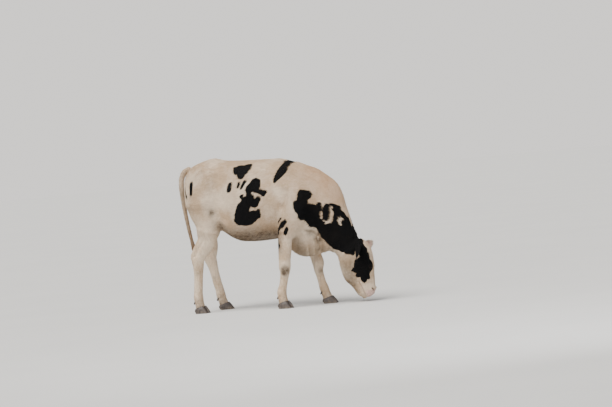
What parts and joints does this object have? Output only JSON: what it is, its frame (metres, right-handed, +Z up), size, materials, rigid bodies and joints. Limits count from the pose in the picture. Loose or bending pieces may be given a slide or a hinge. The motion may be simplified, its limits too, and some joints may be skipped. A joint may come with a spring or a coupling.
{
  "type": "cow",
  "caption": "Young black and white dairy cow standing with its head lowered to graze, a life-size still model.",
  "frame": {"origin": "on the floor under the middle of the cow's bounding box", "axes": "+X towards the head, +Y to the cow's left, +Z up"},
  "size_m": [1.8534, 0.6566, 1.4209],
  "materials": {
    "coat_body": "short warm-white hair with near-black patches",
    "coat_head_and_neck": "short hair, mostly near-black, with white on the nose, jaw and crest",
    "tail_hair": "long brown and dark hair",
    "horn": "dark hoof horn, dull and a little ribbed",
    "eye": "wet dark brown eye"
  },
  "bodies": {
    "root": {"cannon_fore_left": "coat_body", "cannon_fore_right": "coat_body", "cannon_hind_left": "coat_body", "cannon_hind_right": "coat_body", "claw_fore_left_left": "horn", "claw_fore_left_right": "horn", "claw_fore_right_left": "horn", "claw_fore_right_right": "horn", "claw_hind_left_left": "horn", "claw_hind_left_right": "horn", "claw_hind_right_left": "horn", "claw_hind_right_right": "horn", "dewclaw_fore_left_left": "horn", "dewclaw_fore_left_right": "horn", "dewclaw_fore_right_left": "horn", "dewclaw_fore_right_right": "horn", "dewclaw_hind_left_left": "horn", "dewclaw_hind_left_right": "horn", "dewclaw_hind_right_left": "horn", "dewclaw_hind_right_right": "horn", "ear_left": "coat_body", "ear_right": "coat_body", "eye_left": "eye", "eye_right": "eye", "forearm_left": "coat_body", "forearm_right": "coat_body", "head": "coat_head_and_neck", "neck": "coat_head_and_neck", "shank_left": "coat_body", "shank_right": "coat_body", "tail": "coat_body", "tail_switch": "tail_hair", "trunk": "coat_body"}
  },
  "joints": []
}
